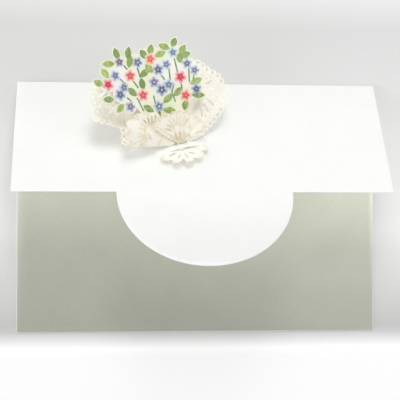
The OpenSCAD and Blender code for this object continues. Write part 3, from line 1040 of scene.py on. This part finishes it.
# %% The tail
TAIL_REACH = 9.5
tail_angles = np.linspace(-85, 85, 31)
tail_cone, _ = pleated_cone(tail_angles, 6 + 3 * rounded_zigzag((tail_angles + 85) / 34 + 1))
fan_of_tail = Fan(-85, 170, 5, 0.6, lambda t: TAIL_REACH * (1 + 0.12 * min(1, abs(2.5 * t - 1.25)) ** 2))
tail = cut_sheet("tail", [fan_of_tail.outline()],
                 fan_of_tail.dots(5, 0.2, 0.7) + fan_of_tail.slots(0.5, 0.09, 0.42), fan_of_tail.creases())
gathered(tail, TAIL, tail_cone)

# %% Join the lace
def joined(name, sheets):
    """One mesh from several. Each sheet says how much painted shade it takes, and how much more its cut
    edges take.
    """
    made = new_mesh(name, [])
    cream = []
    with editing(made) as work:
        for mesh, plain, edge in sheets:
            first = len(work.verts)
            work.from_mesh(mesh)
            work.verts.ensure_lookup_table()
            cream += [plain + edge * v.is_boundary for v in work.verts[first:]]
    give(made, "cream", "FLOAT", cream)
    return made


# Painted shade on the lace: most on the crown's gathers, some on the collar and flaps, none on the tail's
# face, which faces the light, and extra along the cut edges of the flaps, crown and tail.
lace_parts = joined("lace_sheet", [(collar, 0.25, 0), (left_flap, 0.3, 0.7), (right_flap, 0.3, 0.7),
                                   (crown_sheet, 0.5, 0.2), (tail, 0, 0.4)])
lace = thickened("lace_sheet", lace_parts, LACE_T, lace_cream)
soften(lace, 35)
finish_piece(lace, "lace_paper", "lace_doily")

# %% [markdown]
# ## The flower spray
# The bouquet's flowers are one sheet of card too: printed, embossed and cut out with a narrow white border.
# The lists of blossoms, leaves and stems drive everything. Each blossom or leaf gives a patch of border in
# the cut outline, a raised print on it and a tint in the card round it. A stem is raised print alone.

# %% Layout of the spray: across and up from the waist
# A blossom is its place and size.
CORAL_BLOSSOMS = [(-5.3, 35.7, 1), (-15, 30.9, 1), (-25.2, 29.4, 1), (-11.4, 22.5, 1.05), (5.4, 26.3, 1),
                  (6.1, 18.8, 1.05)]
BLUE_BLOSSOMS = [(-18.3, 37, 0.75), (-10.8, 35.4, 0.9), (4.3, 36.4, 0.8), (0.8, 32.3, 0.8), (-3, 31, 0.9),
                 (9.1, 31, 0.8), (11.6, 27.8, 0.8), (-21.3, 32.2, 0.85), (-5.7, 26.5, 0.9), (0.1, 24.3, 0.9),
                 (-3.1, 22.9, 1), (-18.8, 27, 0.85), (-21.1, 24.6, 0.95), (-18, 19.2, 0.9),
                 (-5.7, 16.8, 0.95), (10.8, 20.4, 0.85)]
# A leaf is its place, bearing and length.
LEAVES = [(-18.7, 40.3, -10, 4.5), (-23, 37.2, -80, 5), (-25.3, 33.9, -28, 4.5), (-29, 30.8, -55, 4),
          (-26.5, 23.8, -80, 4.5), (-22.5, 19.5, -120, 4.5), (-13.8, 39.8, 18, 4.5), (-13.9, 36.3, 25, 4.5),
          (-7.7, 38, -25, 4), (-4.4, 39.2, 22, 4), (-0.9, 36.8, 80, 4.5), (1.3, 39.3, -58, 4.5),
          (5.5, 40.2, 35, 3.5), (9.1, 34.5, 80, 4), (6.6, 33.6, -5, 3.5), (8.4, 36.7, 40, 4),
          (-6.5, 32.1, -35, 4), (-8.8, 30.8, 60, 4.5), (-10.7, 26.8, 0, 4.5), (-15.6, 24.6, -40, 4.5),
          (-1.2, 19.1, 58, 5), (3.4, 20.8, 55, 4.5), (11.3, 23.4, 75, 5), (11, 17.9, 105, 5),
          (5.2, 15.1, 205, 4), (-1.7, 14.4, 105, 5), (-7, 13.6, 220, 4), (-10.3, 16.8, -50, 4.5)]
# The two ends of each stem.
STEMS = [(-16.7, 35.3, -15.6, 33.5), (-11.3, 33.4, -10.9, 29.4), (-19.6, 30.6, -17.6, 28.1),
         (-14.4, 29.2, -12.7, 25.6), (-14.2, 22, -12.6, 16.3), (-18.5, 23, -16.8, 21.1),
         (-7, 21.4, -6.9, 18.1), (-2.2, 28.6, -1.1, 26.6), (1.5, 30.6, 1.1, 25.7), (4.4, 34, 4.7, 28.4),
         (9.4, 29, 8.6, 23.5), (11.2, 26.6, 10.3, 24.2), (5.2, 24, 5.2, 21.4), (0.8, 21.6, 1.5, 16.8),
         (2.4, 24.4, 0.9, 21.4)]
# Discs of card that join the flowers up behind the stems, each a place and a radius.
GROUNDS = [(-20, 31, 6), (-13.5, 33.5, 6), (-5, 34.5, 6), (3, 34.5, 6), (-16.5, 24.5, 6.5),
           (-7.5, 26.5, 6), (2, 27, 6.5), (7, 28, 5.5), (-9, 19.5, 6), (0, 19.5, 6), (7, 21.5, 5)]
BLOSSOM_R, LEAF_W, STEM_W, EMBOSS = 2.3, 2.1, 0.55, 0.1
# The border left round the shapes, how many borders longer and wider than a leaf its patch is, and how far
# the print runs out into the border.
HALO, LEAF_BORDERS, BLEED = 0.7, 1.8, 0.25
SPRAY_BASE = (0, 0.1, 0.65)
BLOSSOMS = CORAL_BLOSSOMS + BLUE_BLOSSOMS
print(len(BLOSSOMS), "blossoms,", len(LEAVES), "leaves,", len(STEMS), "stems")

# %% Cut the spray's card
def leaf_outline_at(x, y, bearing, length, width):
    """A leaf between two arcs, pointed at both ends, about its middle."""
    r = (length * length + width * width) / (4 * width)
    half = [(math.sqrt(r * r - (t * length) ** 2) - r + width / 2, t * length)
            for t in np.linspace(-0.5, 0.5, 9)]
    loop = half + [(-a, b) for a, b in half[-2:0:-1]]
    c, s = math.cos(math.radians(bearing)), math.sin(math.radians(bearing))
    return [(x + a * c + b * s, y - a * s + b * c) for a, b in loop]


stalk = [(-1.1, -2.6), (1.1, -2.6), (1.1, 0.9), (1.3, 5), (7, 17), (-9, 17), (-1.3, 5), (-1.1, 0.9)]
spray_loops = [stalk] + [ring(*g) for g in GROUNDS]
spray_loops += [ring(x, y, size * BLOSSOM_R + HALO) for x, y, size in BLOSSOMS]
leaf_border = LEAF_BORDERS * HALO
spray_loops += [leaf_outline_at(x, y, bearing, length + leaf_border, LEAF_W + leaf_border)
                for x, y, bearing, length in LEAVES]
spray_points, spray_faces = union_sheet(spray_loops, grid(-34, 20, -2, 46, 1.0))
spray_mesh = new_mesh("spray_card", spray_points, spray_faces)
print("spray card:", len(spray_faces), "triangles")

# %% Fold the spray's card and its foot
# The spray's card is bent into a shallow dish. Its flat bearing and its azimuth agree at one place, near its
# left edge.
TRUE_BEARING = -54
spray_azimuths = np.linspace(-60, 46, 54)
spray_rays = direction(spray_azimuths, 9 + 5 * (spray_azimuths / 50) ** 2)
spray_flat = angles_of(spray_rays)
spray_flat += TRUE_BEARING - np.interp(TRUE_BEARING, spray_azimuths, spray_flat)
spray_cone = Cone(spray_flat, spray_rays)
# The foot's run under the strap: distance up the stalk, then place along and height over the strap.
FOOT_PATH = np.array([(-2.6, -1.25, 0.85), (-0.4, 0.95, 0.85), (-0.1, 1.2, 0.9), (0.2, 1.42, 1.12),
                      (1.2, 2.147, 1.833)])


def fold_spray(points):
    """The spray leans out of the bouquet, and its foot bends in under the strap."""
    folded = placed(WRAP @ shift(*SPRAY_BASE), spray_cone.fold(points))
    foot = points[:, 1] < FOOT_PATH[-1, 0]
    y, z = (np.interp(points[foot, 1], FOOT_PATH[:, 0], column) for column in FOOT_PATH[:, 1:].T)
    folded[foot] = placed(STRAP, np.column_stack([points[foot, 0], y, z]))
    return folded


print(f"the spray spans {spray_flat[-1] - spray_flat[0]:.0f} degrees of paper")

# %% [markdown]
# ## Inks and washes
# The flowers are printed in soft inks that vary from one blossom to the next. A drawn picture could be laid
# on the card, but it would need a fine image, and its colours would be fixed. Here each blossom and leaf
# carries its own inks as attributes, so one material serves them all. Round the print the bare card takes a
# pale wash of the nearest tint.

# %% Inks and palettes
def ink(red, green, blue):
    """A display colour, 0 to 255, as linear light."""
    def linear(v):
        v /= 255
        return v / 12.92 if v <= 0.04045 else ((v + 0.055) / 1.055) ** 2.4
    return linear(red), linear(green), linear(blue), 1.0


# Each palette is the heart's colour, the petals' colour and the tint of their tips.
ROSE = (ink(235, 105, 112), ink(204, 54, 78), ink(242, 180, 184))
CORAL = (ink(246, 145, 100), ink(214, 84, 92), ink(246, 200, 190))
PEACH = (ink(250, 160, 98), ink(226, 106, 92), ink(246, 206, 186))
SKY = (ink(206, 206, 138), ink(100, 112, 154), ink(200, 208, 226))
NIGHT = (ink(206, 194, 128), ink(84, 92, 142), ink(184, 192, 216))
VIOLET = (ink(196, 162, 125), ink(114, 100, 138), ink(196, 188, 210))
LILAC = (ink(214, 198, 196), ink(114, 112, 150), ink(196, 198, 216))
PALE = (ink(230, 226, 205), ink(108, 122, 156), ink(202, 210, 224))
TEAL = (ink(214, 194, 130), ink(106, 132, 162), ink(200, 214, 226))
# The palette of each blossom in turn.
PALETTES = [PEACH, CORAL, ROSE, CORAL, ROSE, CORAL]
PALETTES += [VIOLET, SKY, TEAL, PALE, NIGHT, SKY, PALE, SKY]
PALETTES += [LILAC, TEAL, NIGHT, SKY, NIGHT, LILAC, PALE, NIGHT]
print("palettes:", len(PALETTES))

# %% Materials of the print
def blossom_colours(tree, mottle):
    """Heart, petal and tip by the distance from the blossom's middle, which the fibres make uneven."""
    wander = sum_of(tree, "ADD", mottle, -0.5)
    reach = sum_of(tree, "MULTIPLY_ADD", wander, 0.5, attribute(tree, "reach", "Fac"))
    petal = blended(tree, ramp(tree, reach, 0.38, 0.9, soft=True), attribute(tree, "inner", "Color"),
                    attribute(tree, "outer", "Color"))
    return blended(tree, ramp(tree, reach, 0.16, 0.24, soft=True), attribute(tree, "heart", "Color"), petal)


def leaf_colours(tree, mottle):
    patch = ramp(tree, mottle, 0.42, 0.6, soft=True)
    return blended(tree, patch, attribute(tree, "shade", "Color"), attribute(tree, "light", "Color"))


def stem_colours(tree, mottle):
    return blended(tree, ramp(tree, mottle, 0.4, 0.6, soft=True), ink(96, 128, 100), ink(140, 165, 128))


def wash_colours(tree, mottle):
    thin = sum_of(tree, "MULTIPLY", mottle, 0.35)
    return blended(tree, thin, attribute(tree, "wash", "Color"), ink(250, 249, 244))


blossom_print, leaf_print, stem_print, spray_print = (
    fibrous(name, colours, 0.6, 0.2, depth=0.00008)
    for name, colours in (("blossom_print", blossom_colours), ("leaf_print", leaf_colours),
                          ("stem_print", stem_colours), ("spray_print", wash_colours)))
print("prints:", [m.name for m in (blossom_print, leaf_print, stem_print, spray_print)])

# %% The pale washes of the card round the print
def washed(colours, share, tint):
    """Colours with a share of one tint mixed into each."""
    return colours * (1 - share) + share * np.array(tint[:3])


def washes(points):
    """Cream paper, tinted by the blossom or leaf that is near, and yellow low down."""
    def away(x, y):
        return np.hypot(points[:, 0] - x, points[:, 1] - y)[:, None]

    colours = np.tile(np.array(ink(252, 252, 238)[:3]), (len(points), 1))
    colours = washed(colours, 0.6 * np.exp(-(away(-6, 19) / 9) ** 2), ink(238, 244, 206))
    for (x, y, size), palette in zip(BLOSSOMS, PALETTES):
        share = 0.5 * np.exp(-(away(x, y) / (size * BLOSSOM_R) / 1.35) ** 2)
        colours = washed(colours, share, palette[2])
    for x, y, _, length in LEAVES:
        colours = washed(colours, 0.6 * np.exp(-(away(x, y) / length / 0.75) ** 4), ink(222, 232, 186))
    return np.column_stack([colours, np.ones(len(points))])


give(spray_mesh, "wash", "FLOAT_COLOR", washes(coordinates(spray_mesh)))
move_to(spray_mesh, fold_spray(coordinates(spray_mesh)))
print("wash on", len(spray_mesh.vertices), "points")

# %% [markdown]
# ## Embossed shapes
# The embossing raises each print by a few tenths of a millimetre. A height map could do that in the
# material, but its edges wouldn't catch the light. So a blossom, a leaf and a stem are made once as low
# closed domes, each from a rule for its outline and a rule for its height.

# %% Master shape: a blossom
SUNK = 0.08


def polar_shape(name, outline_at, height_at, rings=6, sides=40):
    """A closed dome on a lobed outline, with its foot sunk a little into the card.

    Its point attribute 'reach' runs from 0 inside to 1 at the edge."""
    verts, reach, faces = [(0, 0, height_at(0, 0))], [0.0], []
    for i in range(1, rings + 1):
        for k in range(sides):
            a = 2 * math.pi * k / sides
            t = i / rings
            r = outline_at(a) * t
            verts.append((r * math.sin(a), r * math.cos(a), height_at(a, t)))
            reach.append(t)
    faces += [(0, 1 + (k + 1) % sides, 1 + k) for k in range(sides)]
    for i in range(rings - 1):
        for k in range(sides):
            a, b = 1 + i * sides + k, 1 + i * sides + (k + 1) % sides
            faces.append((a, b, b + sides, a + sides))
    rim = 1 + (rings - 1) * sides
    low = len(verts)
    verts += [(verts[rim + k][0], verts[rim + k][1], -SUNK) for k in range(sides)]
    reach += [1.0] * sides
    faces += [(rim + k, rim + (k + 1) % sides, low + (k + 1) % sides, low + k) for k in range(sides)]
    faces.append(tuple(low + k for k in range(sides)))
    mesh = new_mesh(name, verts, faces)
    give(mesh, "reach", "FLOAT", reach)
    with editing(mesh) as work:
        bmesh.ops.recalc_face_normals(work, faces=work.faces[:])
    return mesh


def petal_edge(a):
    """Radius of a flower of five petals, as a share of its full radius."""
    return 0.6 + 0.4 * abs(math.cos(2.5 * a)) ** 0.9


def petal_height(a, t):
    lobe = abs(math.cos(2.5 * a))
    heart = 0.22 * max(0.0, 1 - (t / 0.22) ** 2)
    return EMBOSS * (1.4 + 1.6 * lobe * math.sin(math.pi * min(1, 0.15 + 0.8 * t)) - 0.7 * t) + heart * 0.5


blossom_shape = polar_shape("blossom_shape", petal_edge, petal_height)
print("blossom of", len(blossom_shape.polygons), "faces")

# %% Master shapes: a leaf and a stem
def leaf_edge(a):
    """Radius of a leaf 1 long and 1 wide between two parabolas, so it is pointed at both ends."""
    s, c = abs(math.sin(a)), abs(math.cos(a))
    return 0.5 if c < 0.001 else (math.sqrt(s * s + 4 * c * c) - s) / (4 * c * c)


def leaf_height(a, t):
    crease_depth = 0.5 * abs(math.sin(a)) * t
    return EMBOSS * (1.6 + crease_depth - 1.0 * t)


leaf_shape = polar_shape("leaf_shape", leaf_edge, leaf_height, rings=4, sides=24)
stem_shape = polar_shape("stem_shape", lambda a: 0.5 / max(abs(math.sin(a)), abs(math.cos(a))),
                         lambda a, t: EMBOSS * (1.2 - 0.6 * t), rings=2, sides=16)
print("leaf of", len(leaf_shape.polygons), "faces, stem of", len(stem_shape.polygons))

# %% [markdown]
# One small tree sets any master shape on the points of a plan. Each point says how large its copy is and
# how far it is turned. Its colours ride along as attributes, and the material reads them back.

# %% Geometry Nodes: a shape on every point
strew, group_in, group_out = new_group(
    "shape_on_points", "GeometryNodeTree",
    [("Geometry", GEOMETRY, None), ("Shape", "NodeSocketObject", None),
     ("Paint", "NodeSocketMaterial", None)],
    [("Geometry", GEOMETRY)])
master = add(strew, "GeometryNodeObjectInfo", {"Object": group_in.outputs["Shape"]})
copies = add(strew, "GeometryNodeInstanceOnPoints", {
    "Points": group_in.outputs["Geometry"], "Instance": master.outputs["Geometry"],
    "Rotation": named(strew, "turned", "FLOAT_VECTOR"), "Scale": named(strew, "sized", "FLOAT_VECTOR")})
real = add(strew, "GeometryNodeRealizeInstances", {"Geometry": copies.outputs["Instances"]})
painted = add(strew, "GeometryNodeSetMaterial", {
    "Geometry": real.outputs["Geometry"], "Material": group_in.outputs["Paint"]})
strew.links.new(painted.outputs["Geometry"], group_out.inputs["Geometry"])
print("shape setter inputs:", [i.name for i in strew.interface.items_tree if i.in_out == "INPUT"])

# %% Print the blossoms
def strewn(name, shape, paint, spots, **colours):
    """Copies of a shape. Each spot is x, y, height, bearing, and its three sizes."""
    plan = new_mesh(name + "_plan", [s[:3] for s in spots])
    give(plan, "turned", "FLOAT_VECTOR", [(0, 0, -math.radians(s[3])) for s in spots])
    give(plan, "sized", "FLOAT_VECTOR", [s[4:7] for s in spots])
    for label, values in colours.items():
        give(plan, label, "FLOAT_COLOR", values)
    pattern = bpy.data.objects.new(name + "_pattern", shape)
    made = evaluated_mesh(name, plan, strew, Shape=pattern, Paint=paint)
    bpy.data.objects.remove(pattern)
    move_to(made, fold_spray(coordinates(made)))
    piece = in_scene(name, made)
    soften(piece, 50)
    return piece


TOP = SPRAY_T / 2
random.seed(7)
blossom_spots = [(x, y, TOP, random.uniform(0, 72), *(size * BLOSSOM_R + BLEED,) * 2, 1)
                 for x, y, size in BLOSSOMS]
blossoms = strewn("spray_blossoms", blossom_shape, blossom_print, blossom_spots,
                  heart=[p[0] for p in PALETTES], inner=[p[1] for p in PALETTES],
                  outer=[p[2] for p in PALETTES])
print("blossoms:", len(blossoms.data.polygons), "faces")

# %% Print the leaves and stems
leaf_spots = [(x, y, TOP, bearing, LEAF_W + 2 * BLEED, length + 2 * BLEED, 1)
              for x, y, bearing, length in LEAVES]
GREENS = [(ink(134, 154, 88), ink(178, 194, 126)), (ink(146, 166, 94), ink(188, 204, 134)),
          (ink(120, 144, 88), ink(166, 184, 122))]
chosen = [random.choice(GREENS) for _ in LEAVES]
leaves = strewn("spray_leaves", leaf_shape, leaf_print, leaf_spots,
                shade=[g[0] for g in chosen], light=[g[1] for g in chosen])
stem_spots = [((x0 + x1) / 2, (y0 + y1) / 2, TOP, bearing_of(x0 - x1, y0 - y1), STEM_W,
               math.hypot(x0 - x1, y0 - y1), 1) for x0, y0, x1, y1 in STEMS]
stems = strewn("spray_stems", stem_shape, stem_print, stem_spots)
print("leaves and stems:", len(leaves.data.polygons) + len(stems.data.polygons), "faces")

# %% Finish the spray
spray = thickened("spray_card", spray_mesh, SPRAY_T, spray_print, bevel=0.04)
soften(spray)
finish_piece(spray, "printed_card", "flower_spray")
for piece in (blossoms, leaves, stems):
    finish_piece(piece, "printed_card")

# %% [markdown]
# ## Camera, light and floor
# The card lies under a bright even sky with four softboxes, and most of their light comes from behind and
# from the left. A long lens looks almost straight down on it. The cover rises towards the lens, so it looks
# a little wider than the back.

# %% Camera
camera_data = bpy.data.cameras.new("camera")
camera_data.lens = 100
camera_data.sensor_width = 36
camera = in_scene("camera", camera_data)
CAMERA_PLACE = Vector((-41.714, -8.317, 465.08))
forward, up = Vector((0.09172, 0.02454, -0.99548)), Vector((-0.00329, 0.99970, 0.02434))
sideways = forward.cross(up).normalized()
up = sideways.cross(forward).normalized()
facing = Matrix((sideways, up, -forward)).transposed().to_4x4()
camera.matrix_world = Matrix.Translation(CAMERA_PLACE * MM) @ facing
bpy.context.scene.camera = camera
print("camera", round(CAMERA_PLACE.z), "mm above the floor")

# %% Lights
# Each softbox is a name, its place, what it is aimed at, its size and its power.
SOFTBOXES = [
    ("back_softbox", (0, 420, 420), (0, 30, 20), 220, 1.05),
    ("right_softbox", (450, 60, 380), (0, 20, 20), 220, 0.34),
    ("low_left_softbox", (-450, -110, 190), (0, 0, 10), 360, 0.97),
    ("low_right_softbox", (450, -110, 190), (0, 0, 10), 360, 0.22),
]
for name, place, aim, size, power in SOFTBOXES:
    data = bpy.data.lights.new(name, "AREA")
    data.size = size * MM
    data.energy = power
    lamp = in_scene(name, data)
    lamp.location = Vector(place) * MM
    lamp.rotation_mode = "QUATERNION"
    lamp.rotation_quaternion = (Vector(aim) - Vector(place)).to_track_quat("-Z", "Y")
print(len(SOFTBOXES), "softboxes")

# %% Sky
WORLD_STRENGTH = 0.61
world = bpy.data.worlds.new("studio")
bpy.context.scene.world = world
world.use_nodes = True
sky = world.node_tree.nodes["Background"].inputs
sky["Color"].default_value = (1, 1, 1, 1)
sky["Strength"].default_value = WORLD_STRENGTH
print("sky strength", WORLD_STRENGTH)

# %% Material of the floor
# Pale grey paper lies behind and beside the card. Its grey carries painted shade, darker beside the card's
# front edge and slowly darker far behind it, and painted light that brightens it a little to the right. In
# front of the card it turns into a white sheet whose glow is painted light, so it is evenly white. A step is
# a place along Y, in millimetres, and a shade of grey.
FLOOR_PAINTED_SHADING = [(-62, 0.4), (-57, 0.5), (-52, 0.6), (-49, 0.56), (-35, 0.68), (-10, 0.87), (31, 0.8),
               (58, 0.715), (76, 0.68), (120, 0.65)]
GLOW_FROM, GLOW_TO, GLOW = -0.052, -0.059, 0.57
PAINTED_SIDE_LIGHT, WARMTH = 0.4, 0.995


def floor_with_painted_shading():
    """Paper with painted shade along Y, and painted light that brightens it a little to the right."""
    material = bpy.data.materials.new("floor_paper")
    material.use_nodes = True
    tree = material.node_tree
    shader = tree.nodes["Principled BSDF"]
    place = object_place(tree)
    low, high = FLOOR_PAINTED_SHADING[0][0], FLOOR_PAINTED_SHADING[-1][0]
    tones = add(tree, "ShaderNodeValToRGB", {"Fac": ramp(tree, place["Y"], low * MM, high * MM)})
    stops = tones.color_ramp.elements
    for y, painted_shading in FLOOR_PAINTED_SHADING:
        stop = stops.new((y - low) / (high - low))
        stop.color = (painted_shading, painted_shading, painted_shading * WARMTH, 1)
    # A new ramp comes with a black stop and a white one. No step of painted shading is either, so those two
    # go.
    for stop in [s for s in stops if s.color[0] in (0, 1)]:
        stops.remove(stop)
    # Painted light: the floor brightens towards the right.
    side = sum_of(tree, "MULTIPLY_ADD", place["X"], PAINTED_SIDE_LIGHT, 1.0)
    level = add(tree, "ShaderNodeVectorMath", {"Vector": tones.outputs["Color"], "Scale": side},
                operation="SCALE")
    tree.links.new(level.outputs[0], shader.inputs["Base Color"])
    # Painted light: the floor in front of the card glows, so it is evenly white.
    tree.links.new(ramp(tree, place["Y"], GLOW_FROM, GLOW_TO, GLOW), shader.inputs["Emission Strength"])
    shader.inputs["Emission Color"].default_value = (1, 1, 1, 1)
    shader.inputs["Roughness"].default_value = 0.8
    return material


print("floor tones:", len(FLOOR_PAINTED_SHADING))

# %% Floor
# The floor is a hair lower than the card's underside, so the two faces don't flicker.
UNDER = -0.02 * MM
floor_mesh = new_mesh("floor", [(-2, -2, UNDER), (2, -2, UNDER), (2, 2, UNDER), (-2, 2, UNDER)],
                      [(0, 1, 2, 3)])
floor = in_scene("floor", floor_mesh)
floor_mesh.materials.append(floor_with_painted_shading())
print("floor", floor.dimensions.x, "m wide")

# %% Finish
bpy.context.scene.view_settings.view_transform = "Standard"
